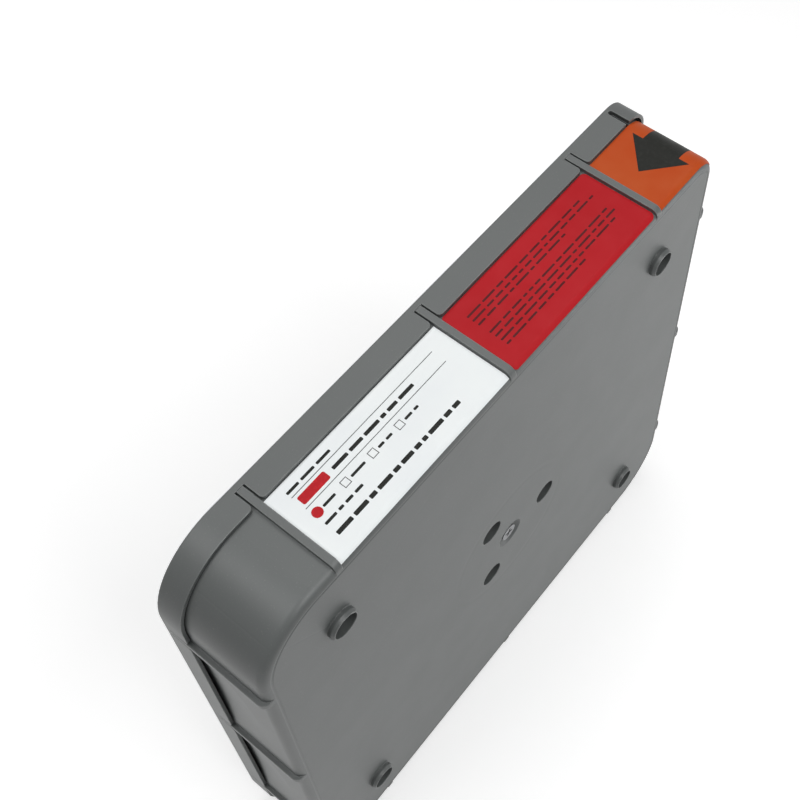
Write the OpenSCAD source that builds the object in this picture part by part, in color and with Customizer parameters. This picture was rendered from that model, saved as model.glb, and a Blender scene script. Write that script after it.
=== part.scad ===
// Dispenser case with a coil of doctor blade strip, standing on its lower edge.
// Millimetres, +Z up, front face toward -Y, blade outlet at the upper +X corner.
// Two moulded shells close round the coil: a deep front case and a shallow rear lid with a notched skirt.

/* [Case] */
// Length and height of the case, measured over the ribs and the lid's skirt
case_size = 310; // [302:1:318]
// Radius of the three large corners, measured over the lid's skirt
corner_r = 36.5; // [33:0.5:41]
// Thickness of the closed case from the front face to the back of the lid
case_t = 54.2; // [52:0.2:60]
// Thickness of the plates and the walls
wall = 2.5; // [2:0.1:3]
// Rounding between the front face and the walls
edge_r = 4; // [3:0.1:4.5]
// Radius of the shallow crease that the mould leaves round the front face
crease_r = 1.5; // [1:0.1:2]
// Depth of that crease
crease_d = 0.25; // [0.1:0.05:0.3]
// Rounding inside, between the front plate and the walls
inner_r = 1.5; // [1:0.1:2]
// Radius of the one tight corner, where the blade comes out
outlet_r = 15; // [12:0.5:16]

/* [Ribs] */
// Distance between neighbouring ribs
rib_pitch = 106; // [98:1:111]
// Width of a rib across the wall
rib_w = 3.4; // [3:0.2:5]
// Height of a rib above the wall, level with the lid's skirt
rib_h = 2.2; // [1.8:0.1:2.6]
// How far the plain walls bow in between their ribs, at the skirt's edge
bow_d = 1.2; // [0.6:0.1:1.2]
// How far in front of the skirt that bow runs out
bow_l = 25; // [25:1:35]

/* [Lid] */
// Width of the lid's skirt, measured along the thickness of the case
skirt_w = 13.2; // [12:0.2:15]
// Rounding of the lid's back edge
lid_edge_r = 0.8; // [0.5:0.1:1.5]
// Room between the skirt and the wall that it covers
skirt_gap = 0.5; // [0.2:0.05:0.7]
// Width of skirt left behind the notch of a rib
notch_rest = 3.2; // [2.4:0.2:4]
// Slit left on each side of a rib in its notch
notch_gap = 0.9; // [0.3:0.1:1.1]
// Rounding of the skirt's tongues at the notches
tongue_r = 2; // [1:0.5:2.5]
// Width of the slit beside the spring tongue at the outlet
slit_w = 2.6; // [1.6:0.2:3]
// Width of skirt left behind that slit
slit_rest = 2.2; // [1.8:0.2:3]
// Distance from the outlet side's wall to the middle of that slit
slit_inset = 13; // [12:0.5:16]
// Outside radius of the skirt at the tight corner
lid_outlet_r = 14; // [10:0.5:15]
// Room between faces that seat on each other
seat_gap = 0.1; // [0.05:0.05:0.3]

/* [Bosses and holes] */
// Spacing of the four tubes on the front face
boss_pitch = 223; // [214:1:228]
// Outer diameter of a tube
boss_d = 15; // [14.5:0.5:16]
// Bore of a tube
boss_bore = 12.6; // [10:0.2:12.8]
// Height of a tube above the front face
boss_h = 3.5; // [2.5:0.5:8]
// How much thinner a tube is at its rim
rim_cut = 0.8; // [0.4:0.1:0.8]
// Length of tube over which it thins toward its rim
rim_h = 1.6; // [1:0.2:2]
// Length of the lid's pin inside a tube
pin_l = 16; // [8:1:24]
// Room round a pin in its tube
pin_gap = 0.2; // [0.1:0.05:0.4]
// Diameter of the three holes in the front face
hole_d = 13.5; // [10:0.5:14.5]
// Radius of the circle on which the three holes lie
hole_ring_r = 29; // [27:0.5:30]
// Height of the collar behind each hole
collar_h = 6; // [4:0.5:8]
// Diameter of the sunk cup at the front face
cup_d = 17; // [15:0.5:20]
// Diameter of the cup's floor
cup_floor_d = 12.5; // [12:0.5:14]
// Depth of the sunk cup
cup_depth = 2.2; // [2:0.1:4]

/* [Screw] */
// Shank diameter of the middle screw
screw_d = 4; // [3:0.5:5]
// Head diameter of the middle screw
screw_head_d = 9.5; // [7.5:0.5:11]
// Head height of the middle screw
screw_head_h = 1.5; // [1.2:0.1:1.8]
// Length of the screw below its head
screw_l = 16; // [10:1:20]
// Room round the screw's shank
screw_gap = 0.2; // [0.1:0.05:0.4]
// Outer diameter of the lid's middle post
post_d = 10; // [8:0.5:12]

/* [Inside] */
// Inner radius of the stiffening ring round the holes
hub_ring_r = 41; // [40:0.5:46]
// Thickness of the rings, collars and webs inside
web_t = 2; // [1.5:0.1:2.5]
// Height of the stiffening ring and of the lid's webs
web_h = 6; // [4:0.5:8]
// Number of webs from the post to the ring
web_n = 6; // [3:1:8]

/* [Blade] */
// Width of the blade strip
blade_w = 30; // [20:1:34]
// Thickness of the blade strip
blade_t = 0.152; // [0.1:0.002:0.2]
// Length of the blade strip in metres
blade_m = 100; // [50:10:100]
// Room between the coil and the case
coil_gap = 0.3; // [0.2:0.1:0.6]
// How far inside the coil's outer turn the strip leaves it
lead_drop = 1; // [0.6:0.1:1.4]
// Slope of the strip on its way to the outlet, in degrees
lead_a = 2.5; // [2.2:0.1:3]
// How far the strip's end lies back from the outer wall
lead_back = 1; // [0.5:0.5:2]
// Height of the outlet slot
slot_h = 6; // [5:0.5:8]
// Room beside and above the strip in the outlet slot
slot_gap = 1; // [0.5:0.5:2]

/* [Labels] */
// Thickness of a label
label_t = 0.2; // [0.1:0.05:0.3]
// Adhesive under a label
glue_t = 0.05; // [0.02:0.01:0.1]
// Margin between a label and the ribs or the skirt
label_gap = 0.3; // [0.2:0.1:1]
// How far round the front edge the labels are pressed, in degrees
edge_a = 48; // [20:2:80]
// Corner radius of the red label
label_r = 2.5; // [1:0.5:5]
// How far round the tight corner the orange label is pressed, in degrees
outlet_a = 60; // [40:5:65]

/* [Hidden] */
$fn = 64;
half = case_size / 2;
wall_half = half - rib_h;
wall_r = corner_r - rib_h;
core = half - corner_r;
case_core = wall_half - outlet_r;
lid_core = half - lid_outlet_r;
y_front = (boss_h - case_t) / 2;
base_d = case_t - wall - seat_gap;
skirt_v = case_t - skirt_w;
notch_d = skirt_w - notch_rest;
notch_w = rib_w + 2 * notch_gap;
slit_d = skirt_w - slit_rest;
slit_x = wall_half - slit_inset;
crease_half = sqrt(crease_d * (2 * crease_r - crease_d));
coil_r = min(wall_half - wall, boss_pitch / sqrt(2) - boss_d / 2) - coil_gap;
coil_in_r = sqrt(pow(coil_r, 2) - blade_m * 1000 * blade_t / PI);
coil_v = skirt_v - 2 * slot_gap - blade_w;
guide_r = (coil_r + coil_in_r) / 2 - web_t / 2;
front_guide_h = coil_v - wall - coil_gap;
lid_guide_h = case_t - wall - coil_v - blade_w - coil_gap;
cup_floor = cup_depth + wall;
cup_flare = (cup_d - cup_floor_d) / cup_depth;
lead_r = coil_r - lead_drop;
lead_l = (wall_half - lead_back - lead_r * sin(lead_a)) / cos(lead_a);
lead_z = lead_r / cos(lead_a) - wall_half * tan(lead_a);
pocket_l = rib_pitch - rib_w - 2 * label_gap;
bow_w = rib_pitch - 3 * rib_w;
bow_r = (pow(bow_w / 2, 2) / bow_d + bow_d) / 2;
bow_a = atan(bow_d / bow_l);
label_front = edge_r - (edge_r + glue_t + label_t) * sin(edge_a);

// Turns a shape about the middle of the case: 0 top, 1 outlet side, 2 bottom, 3 far side.
module place(k) {
    translate([0, 0, half]) rotate([0, 90 * k, 0]) children();
}

// Runs a section along one side. In the section x points outward and y is the depth behind the front face.
module straight(k, len, shift) {
    place(k) translate([shift, y_front, core]) rotate([0, -90, 0]) linear_extrude(len, center = true) children();
}

// Runs a section along one side from corner to corner, where c is the centre of the tight corner.
module side_run(k, c) {
    extra = k < 2 ? c - core : 0;
    straight(k, 2 * core + extra, k == 0 ? extra / 2 : -extra / 2) children();
}

// Turns a section round one corner: 0 lower outlet side, 1 lower far side, 2 upper far side, 3 upper outlet side.
module corner(k, c, ang) {
    place(k) translate([c, y_front, -c]) rotate([-90, 0, 0]) rotate_extrude(angle = ang) children();
}

// A round bar or hole along the thickness of the case, at x and z from the middle.
module rod(x, z, v0, v1, d) {
    translate([x, y_front + v0, half + z]) rotate([-90, 0, 0]) cylinder(h = v1 - v0, d = d);
}

// One of the four tubes, thinner at its rim.
module tube(x, z) {
    rod(x, z, rim_h - boss_h, base_d, boss_d);
    translate([x, y_front - boss_h, half + z]) rotate([-90, 0, 0])
        cylinder(h = rim_h, d1 = boss_d - 2 * rim_cut, d2 = boss_d);
}

// A ring rib standing on a plate inside the case.
module ring_rib(r, v0, v1) {
    translate([0, y_front + v0, half]) rotate([-90, 0, 0]) difference() {
        cylinder(h = v1 - v0, r = r + web_t);
        translate([0, 0, -1]) cylinder(h = v1 - v0 + 2, r = r);
    }
}

// Rectangle from the origin with its far corner rounded.
module soft_box(w, d, r) {
    square([w - r, d]);
    square([w, d - r]);
    translate([w - r, d - r]) circle(r);
}

// Plate outline with four round corners, centred across and starting at the origin.
module soft_plate(w, d, r) {
    translate([-w / 2, r]) square([w, d - 2 * r]);
    translate([-w / 2 + r, 0]) square([w - 2 * r, d]);
    for (x = [r - w / 2, w / 2 - r], y = [r, d - r]) translate([x, y]) circle(r);
}

// Filled section of the front case out to r, rounded at the front edge.
module case_outer(r, edge) {
    translate([0, base_d]) mirror([0, 1]) soft_box(r, base_d, edge);
}

// Section of the front case out to r: plate and wall, with a shallow crease where the front rounding begins.
module case_section(r) {
    difference() {
        case_outer(r, edge_r);
        translate([-1, base_d + 1]) mirror([0, 1]) soft_box(r - wall + 1, base_d + 1 - wall, inner_r);
        translate([r - edge_r - crease_half, crease_d - crease_r]) circle(crease_r);
    }
}

// Section of a rib, which rounds over the front edge and ends level with the front face.
module rib_section() {
    intersection() {
        case_outer(corner_r, edge_r);
        translate([wall_r - edge_r, 0]) square([corner_r, skirt_v + notch_d - seat_gap]);
    }
}

// Section of the lid out to r: plate and skirt, rounded at the back edge.
module lid_section(r) {
    difference() {
        translate([0, skirt_v]) soft_box(r, skirt_w, lid_edge_r);
        translate([-1, skirt_v - 1]) square([r - rib_h + skirt_gap + 1, skirt_w - wall + 1]);
    }
}

// Corner cut that rounds one side of a notch's mouth.
module tongue_corner() {
    difference() {
        translate([0, -1]) square([tongue_r, tongue_r + 1]);
        translate([tongue_r, tongue_r]) circle(tongue_r);
    }
}

// Notch in the skirt that takes the end of a rib, with rounded tongue corners beside it.
module notch_outline() {
    translate([-notch_w / 2, -1]) square([notch_w, notch_d + 1]);
    translate([notch_w / 2, 0]) tongue_corner();
    translate([-notch_w / 2, 0]) mirror([1, 0]) tongue_corner();
}

// Slit with a round end.
module slit_outline() {
    translate([-slit_w / 2, -1]) square([slit_w, slit_d - slit_w / 2 + 1]);
    translate([0, slit_d - slit_w / 2]) circle(slit_w / 2);
}

// Cuts an outline through the skirt on one side, and deeper where more is asked for.
module skirt_cut(k, shift, deeper) {
    place(k) translate([shift, y_front + skirt_v, wall_half - deeper])
        linear_extrude(rib_h + deeper + 1) children();
}

// Shallow scoop by which a plain wall bows in between two ribs, deepest under the skirt.
module bow(k, shift) {
    place(k) translate([shift, y_front, 0]) intersection() {
        translate([-bow_w / 2, 0, core]) cube([bow_w, case_t, corner_r]);
        translate([0, skirt_v - bow_l, wall_half + bow_r / cos(bow_a)]) rotate([-90 - bow_a, 0, 0])
            cylinder(h = 4 * case_t, r = bow_r, $fn = 720);
    }
}

// Front case: plate, walls, cross ribs, tubes, cup, holes and the blade outlet.
module front_case() {
    color([0.44, 0.46, 0.46]) difference() {
        union() {
            translate([-core, y_front, half - core]) cube([2 * core, wall, 2 * core]);
            for (k = [0:3]) side_run(k, case_core) case_section(wall_r);
            for (k = [0:2]) corner(k, core, 90) case_section(wall_r);
            corner(3, case_core, 90) case_section(outlet_r);
            for (k = [0:3], p = [-1:1]) straight(k, rib_w, p * rib_pitch) rib_section();
            for (x = [-1, 1], z = [-1, 1]) tube(x * boss_pitch / 2, z * boss_pitch / 2);
            for (a = [0:120:240])
                rod(hole_ring_r * cos(a), hole_ring_r * sin(a), wall / 2, wall + collar_h, hole_d + 2 * web_t);
            rod(0, 0, wall / 2, cup_floor, cup_d + 2 * wall);
            ring_rib(hub_ring_r, wall / 2, wall + web_h);
            ring_rib(guide_r, wall / 2, wall + front_guide_h);
        }
        for (x = [-1, 1], z = [-1, 1])
            rod(x * boss_pitch / 2, z * boss_pitch / 2, -boss_h - 1, base_d + 1, boss_bore);
        for (a = [0:120:240]) rod(hole_ring_r * cos(a), hole_ring_r * sin(a), -1, wall + collar_h + 1, hole_d);
        translate([0, y_front - 1, half]) rotate([-90, 0, 0])
            cylinder(h = cup_depth + 1, d1 = cup_d + cup_flare, d2 = cup_floor_d);
        rod(0, 0, cup_depth - 1, cup_floor + 1, screw_d + 2 * screw_gap);
        for (k = [1:3], p = [-0.5, 0.5]) bow(k, p * rib_pitch);
        skirt_cut(0, slit_x, 2 * wall) slit_outline();
        translate([wall_half - 3 * wall, y_front + coil_v - slot_gap, half + lead_z + slot_gap - slot_h])
            cube([4 * wall, blade_w + 2 * slot_gap, slot_h]);
    }
}

// Rear lid: plate, notched skirt, pins for the tubes, post for the screw, ring and webs.
module rear_lid() {
    web_l = hub_ring_r + web_t / 2 - post_d / 4;
    color([0.42, 0.44, 0.44]) difference() {
        union() {
            translate([-core, y_front + case_t - wall, half - core]) cube([2 * core, wall, 2 * core]);
            for (k = [0:3]) side_run(k, lid_core) lid_section(corner_r);
            for (k = [0:2]) corner(k, core, 90) lid_section(corner_r);
            corner(3, lid_core, 90) lid_section(lid_outlet_r);
            for (x = [-1, 1], z = [-1, 1])
                rod(x * boss_pitch / 2, z * boss_pitch / 2, base_d - pin_l, case_t - wall / 2, boss_bore - 2 * pin_gap);
            rod(0, 0, cup_floor + seat_gap, case_t - wall / 2, post_d);
            ring_rib(hub_ring_r, case_t - wall - web_h, case_t - wall / 2);
            ring_rib(guide_r, case_t - wall - lid_guide_h, case_t - wall / 2);
            for (i = [0:web_n - 1])
                translate([0, y_front + case_t - wall - web_h, half]) rotate([0, 30 + 360 * i / web_n, 0])
                    translate([post_d / 4, 0, -web_t / 2]) cube([web_l, web_h + wall / 2, web_t]);
        }
        for (k = [0:3], p = [-1:1]) skirt_cut(k, p * rib_pitch, 1) notch_outline();
        skirt_cut(0, slit_x, 1) slit_outline();
        rod(0, 0, cup_floor - 1, cup_depth + screw_l + 1, screw_d + 2 * screw_gap);
    }
}

// Screw that holds the lid's post to the floor of the cup, with a cross recess.
module centre_screw() {
    seat = cup_depth - seat_gap;
    color([0.72, 0.73, 0.74]) difference() {
        union() {
            rod(0, 0, seat - screw_head_h, seat, screw_head_d);
            rod(0, 0, seat - 1, seat + screw_l, screw_d);
        }
        for (a = [0, 90])
            translate([0, y_front + seat - screw_head_h, half]) rotate([0, a + 20, 0])
                cube([screw_head_d * 0.6, screw_head_h, screw_head_d * 0.14], center = true);
    }
}

// Coil of blade strip, wound to its real length, with its free end leading to the outlet.
module blade_coil() {
    color([0.62, 0.64, 0.67]) union() {
        translate([0, y_front + coil_v, half]) rotate([-90, 0, 0]) difference() {
            cylinder(h = blade_w, r = coil_r, $fn = 128);
            translate([0, 0, -1]) cylinder(h = blade_w + 2, r = coil_in_r, $fn = 128);
        }
        translate([0, y_front + coil_v, half]) rotate([0, lead_a, 0])
            translate([0, 0, lead_r - blade_t]) cube([lead_l, blade_w, blade_t]);
    }
}

// Section of a label on a wall at r, up to the skirt, with its front part pressed round the front edge.
module label_section(r) {
    reach = 4 * (edge_r + label_t);
    translate([r + glue_t, edge_r]) square([label_t, skirt_v - label_gap - edge_r]);
    translate([r - edge_r, edge_r]) intersection() {
        difference() {
            circle(edge_r + glue_t + label_t);
            circle(edge_r + glue_t);
        }
        polygon([[0, 0], [reach, 0], [reach * cos(edge_a), -reach * sin(edge_a)]]);
    }
}

// White label, with square corners.
module white_label() {
    color([0.93, 0.95, 0.95]) straight(0, pocket_l, -rib_pitch / 2) label_section(wall_r);
}

// Red label, with round corners.
module red_label() {
    color([0.72, 0.10, 0.13]) intersection() {
        straight(0, pocket_l, rib_pitch / 2) label_section(wall_r);
        place(0) translate([rib_pitch / 2, y_front + label_front, core])
            linear_extrude(corner_r) soft_plate(pocket_l, skirt_v - label_gap - label_front, label_r);
    }
}

// Orange label at the outlet, pressed over the front edge and round the tight corner.
module orange_label() {
    start = rib_pitch + rib_w / 2 + label_gap;
    color([0.80, 0.33, 0.12]) union() {
        straight(0, case_core - start, (case_core + start) / 2) label_section(wall_r);
        corner(3, case_core, outlet_a) label_section(outlet_r);
    }
}

front_case();
rear_lid();
centre_screw();
blade_coil();
white_label();
red_label();
orange_label();
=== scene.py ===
# %% [markdown]
# This lesson dresses a moulded dispenser case that holds a coil of doctor blade strip.
# The solids come from the frame and keep their places.
# Here they get a camera, light, finishes and label print.
# Lengths are in metres and +Z is up, so millimetres are multiplied by MM.

# %% Load the frame
import math
import random

import bpy
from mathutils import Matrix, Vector


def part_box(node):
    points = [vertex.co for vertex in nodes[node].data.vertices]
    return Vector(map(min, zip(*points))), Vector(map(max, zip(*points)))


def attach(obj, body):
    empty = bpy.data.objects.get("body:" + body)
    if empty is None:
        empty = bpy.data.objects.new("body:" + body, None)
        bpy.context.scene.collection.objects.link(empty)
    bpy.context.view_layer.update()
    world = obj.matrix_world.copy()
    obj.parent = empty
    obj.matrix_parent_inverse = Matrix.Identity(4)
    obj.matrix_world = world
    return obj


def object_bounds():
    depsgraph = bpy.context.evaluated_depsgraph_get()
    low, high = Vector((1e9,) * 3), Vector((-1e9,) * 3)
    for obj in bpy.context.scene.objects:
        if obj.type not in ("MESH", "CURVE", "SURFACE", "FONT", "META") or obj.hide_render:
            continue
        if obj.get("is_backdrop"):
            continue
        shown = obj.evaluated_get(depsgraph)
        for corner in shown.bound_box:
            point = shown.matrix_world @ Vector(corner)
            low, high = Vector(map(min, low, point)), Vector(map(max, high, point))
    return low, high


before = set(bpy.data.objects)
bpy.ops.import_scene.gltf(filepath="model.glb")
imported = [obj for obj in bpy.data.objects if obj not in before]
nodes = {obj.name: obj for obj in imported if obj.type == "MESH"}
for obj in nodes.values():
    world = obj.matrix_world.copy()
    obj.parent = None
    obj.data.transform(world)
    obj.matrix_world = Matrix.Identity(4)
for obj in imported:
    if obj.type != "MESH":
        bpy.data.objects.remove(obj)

MM = 0.001
scene = bpy.context.scene
cad_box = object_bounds()
print("solids:", ", ".join(sorted(nodes)))
print("box in mm:", [[round(c / MM, 1) for c in corner] for corner in cad_box])

# %% [markdown]
# The photograph was taken from above the left end of the case, close enough for strong perspective.
# A camera needs a place, a point that it looks at, a lens, and a shift where the picture is off centre.
# The numbers come from matching the ribs, tubes and holes to the picture, and the camera is held level.

# %% Camera
PICTURE_PX = 800
FOCAL_PX = 1311.2
SENSOR_MM = 36
CLIP_START = 0.01
EYE = Vector((-222.5, -188.6, 764.8)) * MM
AIM = Vector((3.1, -11.5, 355.2)) * MM
CENTRE_PX = (491.9, 286.1)

lens = bpy.data.cameras.new("photo_camera")
lens.sensor_width = SENSOR_MM
lens.lens = FOCAL_PX / PICTURE_PX * lens.sensor_width
lens.shift_x = 0.5 - CENTRE_PX[0] / PICTURE_PX
lens.shift_y = CENTRE_PX[1] / PICTURE_PX - 0.5
lens.clip_start = CLIP_START
camera = bpy.data.objects.new("photo_camera", lens)
camera.location = EYE
camera.rotation_euler = (AIM - EYE).to_track_quat("-Z", "Y").to_euler()
scene.collection.objects.link(camera)
scene.camera = camera
print("lens %.1f mm, shift %.3f %.3f" % (lens.lens, lens.shift_x, lens.shift_y))

# %% [markdown]
# Every finish below is a small tree of nodes that ends in one Principled shader.
# A tree could be built by hand in the editor, but a few helpers make it readable as text.
# A constant goes straight onto a socket, and a link is made only where something varies over the surface.


# %% Helpers for node trees
def finish(name, **sockets):
    """A new material, its tree and its shader, with constants set on the shader's own sockets."""
    material = bpy.data.materials.new(name)
    material.use_nodes = True
    shader = material.node_tree.nodes["Principled BSDF"]
    for socket, value in sockets.items():
        shader.inputs[socket.replace("_", " ")].default_value = value
    return material, material.node_tree, shader


def add(tree, kind, inputs=None, **settings):
    """A node with its settings, whose inputs are constants or the outputs of other nodes."""
    node = tree.nodes.new(kind)
    for key, value in settings.items():
        setattr(node, key, value)
    for key, value in (inputs or {}).items():
        if isinstance(value, bpy.types.NodeSocket):
            tree.links.new(value, node.inputs[key])
        else:
            node.inputs[key].default_value = value
    return node


def row_place(tree):
    """The place on the surface in the row frame, which is also every solid's own frame."""
    return add(tree, "ShaderNodeTexCoord").outputs["Object"]


def maths(tree, operation, *values):
    """The result of one Math node."""
    return add(tree, "ShaderNodeMath", dict(enumerate(values)), operation=operation).outputs[0]


def spread(tree, source, low, high, new_low=0.0, new_high=1.0):
    """A value mapped smoothly from one range to another."""
    inputs = {0: source, 1: low, 2: high, 3: new_low, 4: new_high}
    return add(tree, "ShaderNodeMapRange", inputs, interpolation_type="SMOOTHSTEP").outputs[0]


def noise(tree, place, scale, detail):
    """Noise in the row frame, with its scale in features for each metre."""
    inputs = {"Vector": place, "Scale": scale, "Detail": detail}
    return add(tree, "ShaderNodeTexNoise", inputs).outputs["Fac"]


def patches(tree, place, scale, detail, low, high, new_low=0.0, new_high=1.0):
    """Soft patches: noise of a scale and detail, mapped from a band of its values to another."""
    return spread(tree, noise(tree, place, scale, detail), low, high, new_low, new_high)


def blend_colours(tree, share, first, second):
    """A colour between two others."""
    node = tree.nodes.new("ShaderNodeMix")
    node.data_type = "RGBA"
    sockets = {s.identifier: s for s in node.inputs}
    for key, value in (("Factor_Float", share), ("A_Color", first), ("B_Color", second)):
        if isinstance(value, bpy.types.NodeSocket):
            tree.links.new(value, sockets[key])
        else:
            sockets[key].default_value = value
    return next(s for s in node.outputs if s.identifier == "Result_Color")


print("helpers ready")

# %% [markdown]
# The case stands on a white table in soft light, cut out on pure white.
# A brighter lamp would bleach the object, so the floor adds a little glow of its own that only
# the camera and mirror rays see. The case still throws its shadow on it.

# %% Floor
FLOOR_HALF = 3.0
FLOOR_WHITE = (0.86, 0.86, 0.86, 1)
FLOOR_ROUGH = 0.9
FLOOR_GLOW = 0.46
WHITE = (1, 1, 1, 1)


def seen_rays(tree):
    """1 for rays that show the background: from the camera, off gloss and through glass."""
    path = add(tree, "ShaderNodeLightPath").outputs
    seen = maths(tree, "MAXIMUM", path["Is Camera Ray"], path["Is Glossy Ray"])
    return maths(tree, "MAXIMUM", seen, path["Is Transmission Ray"])


floor_mesh = bpy.data.meshes.new("floor")
signs = ((-1, -1), (1, -1), (1, 1), (-1, 1))
corners = [(x * FLOOR_HALF, y * FLOOR_HALF, cad_box[0].z) for x, y in signs]
floor_mesh.from_pydata(corners, [], [(0, 1, 2, 3)])
floor = bpy.data.objects.new("floor", floor_mesh)
scene.collection.objects.link(floor)
floor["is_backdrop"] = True

floor_finish, tree, shader = finish("white_table", Base_Color=FLOOR_WHITE, Roughness=FLOOR_ROUGH)
shader.inputs["Specular IOR Level"].default_value = 0.0
shader.inputs["Emission Color"].default_value = WHITE
tree.links.new(maths(tree, "MULTIPLY", seen_rays(tree), FLOOR_GLOW), shader.inputs["Emission Strength"])
floor_mesh.materials.append(floor_finish)
print("floor at z = %.1f mm" % (cad_box[0].z / MM))

# %% [markdown]
# The light is a faint even surround, four soft panels overhead and two low white cards.
# One big lamp would be simpler, but in the photograph the rounded corner is darker than both the top and
# the left side, so light must come from more than one side. The panel at the left lifts the side wall,
# and the card at the right makes the front face grow lighter toward the outlet. The card behind lights
# the lid, which the photograph doesn't show.

# %% Light
SURROUND = 0.02
# Each light has a name, a place, the side of its square in metres, and its power in watts.
PANELS = (
    ("front_panel", (0.0, -0.8, 1.3), 0.7, 8.3),
    ("back_panel", (0.1, 0.7, 1.5), 0.6, 1.05),
    ("right_panel", (0.45, 0.15, 1.35), 0.8, 4.5),
    ("left_panel", (-0.6, 0.3, 1.4), 0.6, 5.2),
    ("right_card", (0.4, -0.5, 0.13), 0.25, 0.9),
    ("back_card", (0.0, 0.8, 0.2), 0.4, 1.0),
)

scene.view_settings.view_transform = "Standard"
world = bpy.data.worlds.new("white_surround")
world.use_nodes = True
scene.world = world
tree = world.node_tree
surround = maths(tree, "MAXIMUM", seen_rays(tree), SURROUND)
tree.nodes["Background"].inputs["Color"].default_value = WHITE
tree.links.new(surround, tree.nodes["Background"].inputs["Strength"])


def panel(name, place, aim, size, watts):
    """A square soft light at a place, turned to a point."""
    light = bpy.data.lights.new(name, "AREA")
    light.size = size
    light.energy = watts
    lamp = bpy.data.objects.new(name, light)
    lamp.location = place
    lamp.rotation_euler = (Vector(aim) - Vector(place)).to_track_quat("-Z", "Y").to_euler()
    lamp.visible_camera = False
    scene.collection.objects.link(lamp)


case_middle = (cad_box[0] + cad_box[1]) / 2
for name, place, size, watts in PANELS:
    panel(name, place, case_middle, size, watts)
    print("%s %.1f W" % (name, watts))

# %% [markdown]
# The two shells are moulded in grey plastic with a satin spark-eroded grain.
# A flat grey would look like clay, so the finish has five small things: a slow drift
# of tone, fine specks, a fine grain that breaks the gloss, edges that are smoother and painted lighter,
# partly as wear and partly as painted highlight, and painted shade that darkens the crevices.
# Sharp edges look a little rounded through the Bevel node, since in the solids most small edges have no
# rounding.

# %% Grey moulded plastic
GREY = (0.090, 0.097, 0.0955, 1)
GREY_DARK = (0.087, 0.094, 0.0925, 1)
# A paler grey for fine specks, and for edges painted lighter, partly as wear and partly as painted
# highlight.
GREY_SPECK_WEAR_AND_HIGHLIGHT = (0.25, 0.26, 0.257, 1)
# A near-black grey for the painted shade in crevices.
GREY_PAINTED_SHADE = (0.022, 0.024, 0.024, 1)
PLASTIC_IOR = 1.5
PLASTIC_SHEEN = 0.5
EDGE_ROUND = 0.5 * MM
EDGE_SAMPLES = 4
# How far the painted shade looks for nearby surfaces, and how many samples it takes.
PAINTED_SHADE_REACH = 1.0 * MM
PAINTED_SHADE_SAMPLES = 8
GRAIN_H = 0.008 * MM
GRAIN_STRENGTH = 0.6
AXIS = Vector((0, 0, case_middle.z))
# Patches have a scale, a detail, the band of noise that counts, and what the band becomes.
DRIFT = (14, 3, 0.35, 0.65)
SPECKS = (1400, 2, 0.62, 0.74, 0.0, 0.15)
# These patches pick where edges are painted lighter, as wear and as painted highlight.
EDGE_WEAR_AND_HIGHLIGHT_PATCHES = (160, 3, 0.3, 0.6, 0.25, 0.8)
SATIN = (40, 3, 0.3, 0.7, 0.43, 0.45)
GRAIN = (1700, 2)
# The other ranges are from, to, and what they become.
EDGE_BEND = (0.98, 0.72)
HIDDEN_SKY = (0.7, 0.35, 0.0, 0.55)
POLISH = (0.0, 0.8, 1.0, 0.6)


def distance(tree, first, second):
    """How far a place is from the corner of two offsets at a right angle."""
    square = maths(tree, "ADD", maths(tree, "POWER", first, 2.0), maths(tree, "POWER", second, 2.0))
    return maths(tree, "SQRT", square)


def from_axis(tree, place):
    """The place relative to the case's middle, as x, z and the distance from its axis."""
    moved = add(tree, "ShaderNodeVectorMath", {0: place, 1: AXIS}, operation="SUBTRACT").outputs[0]
    parts = add(tree, "ShaderNodeSeparateXYZ", {0: moved}).outputs
    return parts["X"], parts["Z"], distance(tree, parts["X"], parts["Z"])


def near(tree, value, target, width):
    """1 where a value meets its target, falling to 0 a width away."""
    off = maths(tree, "ABSOLUTE", maths(tree, "SUBTRACT", value, target))
    return spread(tree, off, 0.0, width, 1.0, 0.0)


def rounded(tree, radius):
    """The normal of a surface whose edges are rounded."""
    return add(tree, "ShaderNodeBevel", {"Radius": radius}, samples=EDGE_SAMPLES).outputs[0]


def edges_worn_and_highlit(tree):
    """More than 0 beside edges, where the rounded and the true normal differ: wear and a painted highlight.
    """
    round_normal = rounded(tree, EDGE_ROUND * 2)
    true_normal = add(tree, "ShaderNodeNewGeometry").outputs["Normal"]
    same = add(tree, "ShaderNodeVectorMath", {0: round_normal, 1: true_normal}, operation="DOT_PRODUCT")
    return spread(tree, same.outputs["Value"], *EDGE_BEND)


def painted_crevice_shade(tree):
    """Painted shade: more than 0 in crevices, where nearby surfaces hide part of the sky."""
    inputs = {"Distance": PAINTED_SHADE_REACH}
    open_sky = add(tree, "ShaderNodeAmbientOcclusion", inputs, samples=PAINTED_SHADE_SAMPLES).outputs["AO"]
    return spread(tree, open_sky, *HIDDEN_SKY)


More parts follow.
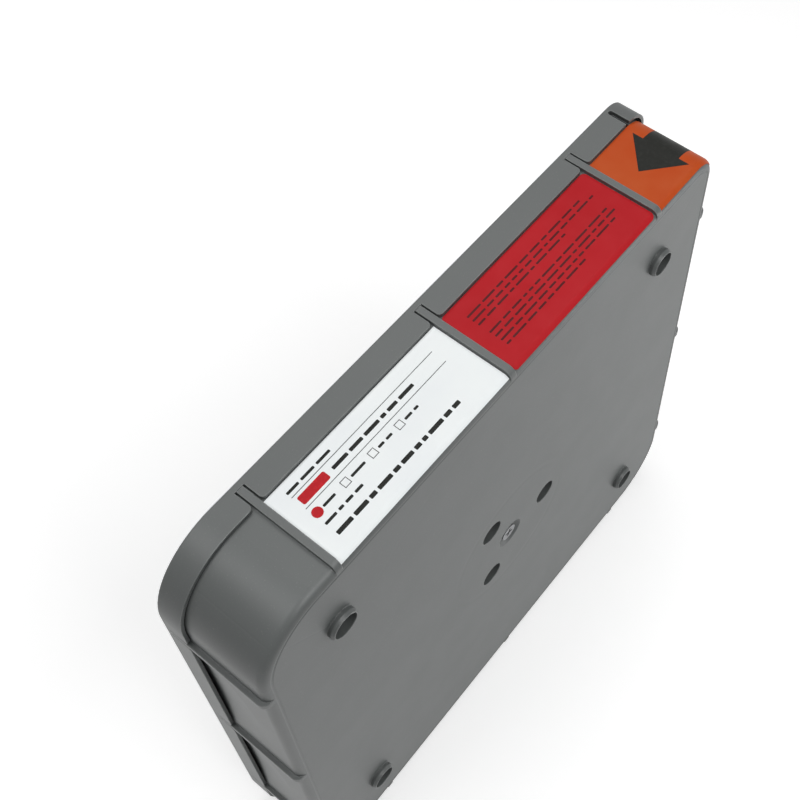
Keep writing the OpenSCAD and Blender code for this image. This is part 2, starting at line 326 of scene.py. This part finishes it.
def moulded_grey(name, relief):
    """The case's plastic, with the relief that the mould leaves on this shell."""
    material, tree, shader = finish(name, IOR=PLASTIC_IOR, Specular_IOR_Level=PLASTIC_SHEEN)
    place = row_place(tree)
    tone = blend_colours(tree, patches(tree, place, *DRIFT), GREY, GREY_DARK)
    tone = blend_colours(tree, patches(tree, place, *SPECKS), tone, GREY_SPECK_WEAR_AND_HIGHLIGHT)
    # Edges are painted lighter here, partly as wear and partly as painted highlight.
    edge_wear_and_highlight = maths(tree, "MULTIPLY", edges_worn_and_highlit(tree), patches(tree, place, *EDGE_WEAR_AND_HIGHLIGHT_PATCHES))
    tone = blend_colours(tree, edge_wear_and_highlight, tone, GREY_SPECK_WEAR_AND_HIGHLIGHT)
    # Crevices are darkened toward a near-black grey as painted shade.
    tree.links.new(blend_colours(tree, painted_crevice_shade(tree), tone, GREY_PAINTED_SHADE), shader.inputs["Base Color"])

    polished = spread(tree, edge_wear_and_highlight, *POLISH)
    satin = maths(tree, "MULTIPLY", patches(tree, place, *SATIN), polished)
    tree.links.new(satin, shader.inputs["Roughness"])

    inputs = {"Height": relief(tree, place), "Distance": 1.0, "Normal": rounded(tree, EDGE_ROUND)}
    shaped = add(tree, "ShaderNodeBump", inputs).outputs[0]
    inputs = {"Height": noise(tree, place, *GRAIN), "Distance": GRAIN_H, "Strength": GRAIN_STRENGTH}
    bump = add(tree, "ShaderNodeBump", {**inputs, "Normal": shaped})
    tree.links.new(bump.outputs[0], shader.inputs["Normal"])
    return material


print("grain %.0f micrometres deep, edges rounded by %.2f mm" % (GRAIN_H / MM * 1000, EDGE_ROUND / MM))

# %% [markdown]
# Where a rib stands behind a plate, the thicker plastic shrinks and the face sinks by a hair.
# On the front this shows as a faint ring round the holes. Melt that flows round a tube meets again
# behind it and leaves a weld line toward the corner. Both are far thinner than the plate,
# so they are relief in the finish.

# %% Relief of the front case
HUB_RING = 42 * MM
HUB_HALF = 3.0 * MM
GUIDE_RING = 141.5 * MM
GUIDE_HALF = 2.5 * MM
GUIDE_SHARE = 0.25
SINK_H = 0.05 * MM
WELD_H = 0.03 * MM
WELD_HALF = 1.2 * MM
TUBE_OUT = 166 * MM
FADE = 2 * MM


def front_relief(tree, place):
    """Height in metres: the sink ring, the fainter guide ring and the weld lines beyond the tubes."""
    x, z, out = from_axis(tree, place)
    ring = maths(tree, "MULTIPLY", near(tree, out, HUB_RING, HUB_HALF), -SINK_H)
    guide = maths(tree, "MULTIPLY", near(tree, out, GUIDE_RING, GUIDE_HALF), -SINK_H * GUIDE_SHARE)
    diagonal = maths(tree, "SUBTRACT", maths(tree, "ABSOLUTE", x), maths(tree, "ABSOLUTE", z))
    beyond = spread(tree, out, TUBE_OUT, TUBE_OUT + FADE)
    weld = maths(tree, "MULTIPLY", near(tree, diagonal, 0.0, WELD_HALF), beyond)
    weld = maths(tree, "MULTIPLY", weld, -WELD_H)
    return maths(tree, "ADD", maths(tree, "ADD", ring, guide), weld)


front_grey = moulded_grey("front_grey", front_relief)
print("sink ring at %.0f mm, %.0f micrometres deep" % (HUB_RING / MM, SINK_H / MM * 1000))

# %% [markdown]
# The lid is the same plastic from another mould. Its plain back shows only the sinks over its own ribs:
# the two rings, six webs like spokes, and a round spot over each of the four pins.

# %% Relief of the rear lid
PIN_AT = 111.5 * MM
PIN_SPOT = (3.0 * MM, 7.0 * MM)
WEBS = 6
WEB_START = math.radians(30)
WEB_HALF = 2.5 * MM
LID_GUIDE_SHARE = 0.5


def lid_relief(tree, place):
    """Height in metres of the sinks over the lid's rings, webs and pins."""
    x, z, out = from_axis(tree, place)
    ring = near(tree, out, HUB_RING, HUB_HALF)
    guide = maths(tree, "MULTIPLY", near(tree, out, GUIDE_RING, GUIDE_HALF), LID_GUIDE_SHARE)
    turn = maths(tree, "ADD", maths(tree, "ARCTAN2", z, x), WEB_START)
    off = maths(tree, "PINGPONG", turn, math.pi / WEBS)
    across = maths(tree, "MULTIPLY", maths(tree, "SINE", off), out)
    inside = spread(tree, out, HUB_RING, HUB_RING - FADE)
    web = maths(tree, "MULTIPLY", near(tree, across, 0.0, WEB_HALF), inside)
    dx = maths(tree, "SUBTRACT", maths(tree, "ABSOLUTE", x), PIN_AT)
    dz = maths(tree, "SUBTRACT", maths(tree, "ABSOLUTE", z), PIN_AT)
    pin = spread(tree, distance(tree, dx, dz), *PIN_SPOT, 1.0, 0.0)
    sunk = maths(tree, "MAXIMUM", maths(tree, "MAXIMUM", ring, guide), maths(tree, "MAXIMUM", web, pin))
    return maths(tree, "MULTIPLY", sunk, -SINK_H)


lid_grey = moulded_grey("lid_grey", lid_relief)
print("lid sinks over", WEBS, "webs and four pins")

# %% [markdown]
# Solids from the frame keep their meshes. Giving one a finish means emptying its material slots and
# filling the first.


# %% Dress the shells
def dress(node, material):
    """Puts a finish on a solid of the frame."""
    piece = nodes[node]
    piece.data.materials.clear()
    piece.data.materials.append(material)
    print("dressed", node, "with", material.name)


dress("front_case", front_grey)
dress("rear_lid", lid_grey)

# %% [markdown]
# The screw in the middle is dull zinc. Turning leaves rings on its head, so the roughness follows
# the distance from the case's axis. The strip is polished spring steel, and on the ends of the coil
# its turns show as very fine rings, which are drawn a little coarser here so that they can be seen.

# %% Dull zinc and blade steel
ZINC = (0.34, 0.345, 0.35, 1)
ZINC_RIM = (0.65, 0.65, 0.66, 1)
ZINC_ROUGH = (0.34, 0.5)
ZINC_PITCH = 0.3 * MM
STEEL = (0.56, 0.57, 0.60, 1)
STEEL_ROUGH = (0.20, 0.42)
TURN = 0.6 * MM
STAIN = (300, 3)
STAIN_TOP = 0.8
RING_DEPTH = 0.05
RING_STRENGTH = 0.5


def ringed_metal(name, colour, rim, pitch, rough):
    """A bare metal with turned or wound rings about the case's axis."""
    material, tree, shader = finish(name, Base_Color=colour, Specular_Tint=rim, Metallic=1.0)
    place = row_place(tree)
    out = from_axis(tree, place)[2]
    rings = maths(tree, "PINGPONG", maths(tree, "DIVIDE", out, pitch), 1.0)
    stained = maths(tree, "MULTIPLY", rings, noise(tree, place, *STAIN))
    tree.links.new(spread(tree, stained, 0.0, STAIN_TOP, *rough), shader.inputs["Roughness"])
    inputs = {"Height": rings, "Distance": pitch * RING_DEPTH, "Strength": RING_STRENGTH}
    tree.links.new(add(tree, "ShaderNodeBump", inputs).outputs[0], shader.inputs["Normal"])
    return material


dull_zinc = ringed_metal("dull_zinc", ZINC, ZINC_RIM, ZINC_PITCH, ZINC_ROUGH)
blade_steel = ringed_metal("blade_steel", STEEL, WHITE, TURN, STEEL_ROUGH)
dress("centre_screw", dull_zinc)
dress("blade_coil", blade_steel)

# %% [markdown]
# The labels are printed plastic film stuck into the pockets between the ribs.
# Film lies almost flat, with a slow ripple from the glue, and has a softer sheen than the case.
# A touch of tone drift keeps the large colour areas from looking like paint chips.

# %% Label film
FILM_SHEEN = 0.12
FILM_DRIFT = (30, 3, 0.35, 0.7)
FILM_GLOSS = (120, 3, 0.3, 0.7)
GLOSS_SPAN = 0.1
RIPPLE = (70, 1)
RIPPLE_H = 0.03 * MM
# Each film has a colour, the deeper one that it drifts to, and its least roughness.
WHITE_FILM = ((0.88, 0.91, 0.91, 1), (0.85, 0.88, 0.89, 1), 0.44)
RED_FILM = ((0.45, 0.012, 0.018, 1), (0.41, 0.010, 0.015, 1), 0.42)
ORANGE_FILM = ((0.495, 0.084, 0.018, 1), (0.47, 0.062, 0.010, 1), 0.40)


def film(name, colour, deeper, gloss):
    """Printed label film in a colour that drifts toward a deeper one."""
    material, tree, shader = finish(name, IOR=PLASTIC_IOR, Specular_IOR_Level=FILM_SHEEN)
    place = row_place(tree)
    drift = patches(tree, place, *FILM_DRIFT)
    tree.links.new(blend_colours(tree, drift, colour, deeper), shader.inputs["Base Color"])
    rough = patches(tree, place, *FILM_GLOSS, gloss, gloss + GLOSS_SPAN)
    tree.links.new(rough, shader.inputs["Roughness"])
    inputs = {"Height": noise(tree, place, *RIPPLE), "Distance": RIPPLE_H}
    tree.links.new(add(tree, "ShaderNodeBump", inputs).outputs[0], shader.inputs["Normal"])
    return material


dress("white_label", film("white_film", *WHITE_FILM))
dress("red_label", film("red_film", *RED_FILM))
dress("orange_label", film("orange_film", *ORANGE_FILM))

# %% [markdown]
# The print could be drawn in the film's nodes, but outlines made as thin sheets stay sharp at any size
# and survive export. Each ink is one mesh of flat shapes with a Solidify modifier as thick as a layer
# of ink. The labels carry no words: bars stand for lines of print, and the arrow shows where the strip
# comes out.

# %% Ink helpers
INK_T = 0.03 * MM
INK_WEAR = (500, 3, 0.45, 0.75, 0.0, 0.35)
INK_GLOSS = (200, 2, 0.3, 0.7, 0.36, 0.5)
INK_FADE = 1.6
INK_LIFT = 0.01
BAR_SOFT = 0.4 * MM
BAR_POINTS = 4
WORD_LENGTHS = (2.5, 9.0)
WORD_GAP = 1.4 * MM
LINE_END = 2 * MM


def ink_finish(name, colour):
    """Ink that has faded a little in patches."""
    material, tree, shader = finish(name, IOR=PLASTIC_IOR, Specular_IOR_Level=FILM_SHEEN)
    place = row_place(tree)
    worn = patches(tree, place, *INK_WEAR)
    faded = tuple(min(1.0, c * INK_FADE + INK_LIFT) for c in colour[:3]) + (1,)
    tree.links.new(blend_colours(tree, worn, colour, faded), shader.inputs["Base Color"])
    tree.links.new(patches(tree, place, *INK_GLOSS), shader.inputs["Roughness"])
    return material


def ink(name, colour, shapes):
    """One printed mesh from flat shapes, each a list of points seen anticlockwise from outside."""
    mesh = bpy.data.meshes.new(name)
    points = [p for shape in shapes for p in shape]
    faces, start = [], 0
    for shape in shapes:
        faces.append(tuple(range(start, start + len(shape))))
        start += len(shape)
    mesh.from_pydata(points, [], faces)
    mesh.materials.append(ink_finish(name, colour))
    piece = bpy.data.objects.new(name, mesh)
    scene.collection.objects.link(piece)
    layer = piece.modifiers.new("ink_layer", "SOLIDIFY")
    layer.thickness = INK_T
    layer.offset = 1.0
    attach(piece, "root")
    print("printed", name, "with", len(shapes), "shapes")


def bar(left, right, front, back, level, soft=BAR_SOFT):
    """A rectangle with soft corners, level above the floor."""
    soft = min(soft, (right - left) / 2, (back - front) / 2)
    shape = []
    for x, y, quarter in ((right, back, 0), (left, back, 1), (left, front, 2), (right, front, 3)):
        cx = x - soft if x == right else x + soft
        cy = y - soft if y == back else y + soft
        for part in range(BAR_POINTS):
            turn = math.radians(90 * quarter + 90 / (BAR_POINTS - 1) * part)
            shape.append((cx + soft * math.cos(turn), cy + soft * math.sin(turn), level))
    return shape


def words(draw, left, right, front, height, level):
    """A line of print as bars of word length, from a seeded draw."""
    shapes, x = [], left
    while x < right - LINE_END:
        end = min(right, x + draw.uniform(*WORD_LENGTHS) * MM)
        shapes.append(bar(x, end, front, front + height, level))
        x = end + WORD_GAP
    return shapes


print("ink layer %.0f micrometres" % (INK_T / MM * 1000))

# %% [markdown]
# The white label is a stock label: a heading beside a red block, a row of size boxes with the first
# one marked, and a heavy line along the front. Its layout is in mm from the label's left edge and
# from the front of its flat part.

# %% Print on the white label
BLACK_INK = (0.012, 0.0125, 0.0105, 1)
FLAT_DEPTH = 36.5 * MM
RULE_T = 0.3 * MM
RULE_SOFT = 0.05 * MM
MARGIN = 8
RULE_END = 92
UPPER_RULE = 29
LOWER_RULE = 21.6
# Each line of print has a start, an end, a place above the front, and a height.
CODE_LINE = (MARGIN, 34, 31, 1.3)
HEADING = (27, 78, 24.4, 1.7)
COUNT_LINE = (MARGIN, 30, 11, 1.3)
HEAVY_LINE = (MARGIN, 84, 4.6, 2.0)
BOXES_AT = (8, 24, 40, 56)
BOX_UP = 15.6
BOX_SIDE = 3.6
BOX_WORDS = (5, 13, 16.7, 1.2)
white_low, white_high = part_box("white_label")
white_top = white_high.z
white_front = white_high.y - FLAT_DEPTH
draw = random.Random(5)


def at(across, up):
    """A place on the white label, in mm from its left and front edges."""
    return white_low.x + across * MM, white_front + up * MM


def rule(up):
    """A fine printed line along the white label."""
    left, front = at(MARGIN, up)
    return bar(left, at(RULE_END, up)[0], front, front + RULE_T, white_top, RULE_SOFT)


def box_rules(across):
    """The four rules of a square box."""
    x, y = at(across, BOX_UP)
    s, t = BOX_SIDE * MM, RULE_T
    sides = ((x, x + s, y, y + t), (x, x + s, y + s - t, y + s),
             (x, x + t, y + t, y + s - t), (x + s - t, x + s, y + t, y + s - t))
    return [bar(*side, white_top, 0) for side in sides]


def line_of_words(across, until, up, height):
    """A line of word bars on the white label."""
    left, front = at(across, up)
    return words(draw, left, at(until, up)[0], front, height * MM, white_top)


shapes = line_of_words(*CODE_LINE)
shapes.append(rule(UPPER_RULE))
shapes += line_of_words(*HEADING)
shapes.append(rule(LOWER_RULE))
word_start, word_end, word_up, word_h = BOX_WORDS
for across in BOXES_AT:
    shapes += box_rules(across)
    shapes += line_of_words(across + word_start, across + word_end, word_up, word_h)
shapes += line_of_words(*COUNT_LINE)
shapes += line_of_words(*HEAVY_LINE)
ink("white_label_print", BLACK_INK, shapes)

# %% [markdown]
# The red of the white label is a second ink: a block before the heading and a dot on the first box.

# %% Red print on the white label
RED_INK = (0.46, 0.012, 0.018, 1)
BLOCK_LOW = (9, 23.2)
BLOCK_HIGH = (24, 27.6)
BLOCK_SOFT = 0.8 * MM
DOT_AT = (9.8, 17.4)
DOT_R = 2.4 * MM
DOT_SIDES = 24


def dot(middle, level):
    """A printed dot."""
    x, y = at(*middle)
    turns = [2 * math.pi * i / DOT_SIDES for i in range(DOT_SIDES)]
    return [(x + DOT_R * math.cos(t), y + DOT_R * math.sin(t), level) for t in turns]


block_left, block_front = at(*BLOCK_LOW)
block_right, block_back = at(*BLOCK_HIGH)
block = bar(block_left, block_right, block_front, block_back, white_top, BLOCK_SOFT)
ink("white_label_red_print", RED_INK, [block, dot(DOT_AT, white_top + INK_T)])

# %% [markdown]
# The red label holds small dark print in two blocks. The rows are bars again, with a ragged right end.

# %% Print on the red label
DARK_ON_RED = (0.075, 0.006, 0.008, 1)
ROW_H = 1.0 * MM
# Each row has its distance from the front edge in mm, and the share of the label's width that it fills.
RED_ROWS = ((31, 0.86), (28, 0.92), (25, 0.70), (19, 0.90), (16, 0.93), (13, 0.88), (10, 0.62))
red_low, red_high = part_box("red_label")
red_width = red_high.x - red_low.x
rows = []
for up, until in RED_ROWS:
    left, right = red_low.x + MARGIN * MM, red_low.x + red_width * until
    rows += words(draw, left, right, red_low.y + up * MM, ROW_H, red_high.z)
ink("red_label_print", DARK_ON_RED, rows)

# %% [markdown]
# The arrow on the orange label points along the case, and its stem runs over the rounded end of the wall.
# The flat part is one outline. The bent part is a row of narrow faces that follow the label's own curve.
# The label's top and far end are read off the frame, and the radius of the corner under it is named here.

# %% Arrow on the orange label
CORNER_R = 15.0 * MM
RIB_H = 2.2 * MM
FILM_OFF = 0.25 * MM
ARROW_TIP = (119.9 * MM, -4.2 * MM)
ARROW_BASE = 137.6 * MM
HEAD = (-20.0 * MM, 11.2 * MM)
STEM = (-14.3 * MM, 5.4 * MM)
ARC_STEPS = 12
orange_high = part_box("orange_label")[1]
bend_r = CORNER_R + FILM_OFF
bend_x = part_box("front_case")[1].x - RIB_H - CORNER_R
bend_end = math.asin(min(1.0, (orange_high.x - bend_x) / bend_r))
top = orange_high.z

outline = (ARROW_TIP, (ARROW_BASE, HEAD[0]), (ARROW_BASE, STEM[0]), (bend_x, STEM[0]),
           (bend_x, STEM[1]), (ARROW_BASE, STEM[1]), (ARROW_BASE, HEAD[1]))
arrow = [[(x, y, top) for x, y in outline]]


def over_corner(step):
    """A place along the bent label, as x and z."""
    turn = bend_end * step / ARC_STEPS
    return bend_x + bend_r * math.sin(turn), top - bend_r * (1 - math.cos(turn))


for step in range(ARC_STEPS):
    (x0, z0), (x1, z1) = over_corner(step), over_corner(step + 1)
    arrow.append([(x0, STEM[0], z0), (x1, STEM[0], z1), (x1, STEM[1], z1), (x0, STEM[1], z0)])
ink("outlet_arrow", BLACK_INK, arrow)
print("label bends %.0f degrees over the corner" % math.degrees(bend_end))

# %% [markdown]
# The last cell compares the dressed object with the box of the solids, because looks must not change sizes.

# %% Sizes and finish
new_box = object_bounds()
growth = zip(cad_box[1] - cad_box[0], new_box[1] - new_box[0])
print("grown by mm:", [round((b - a) / MM, 2) for a, b in growth])
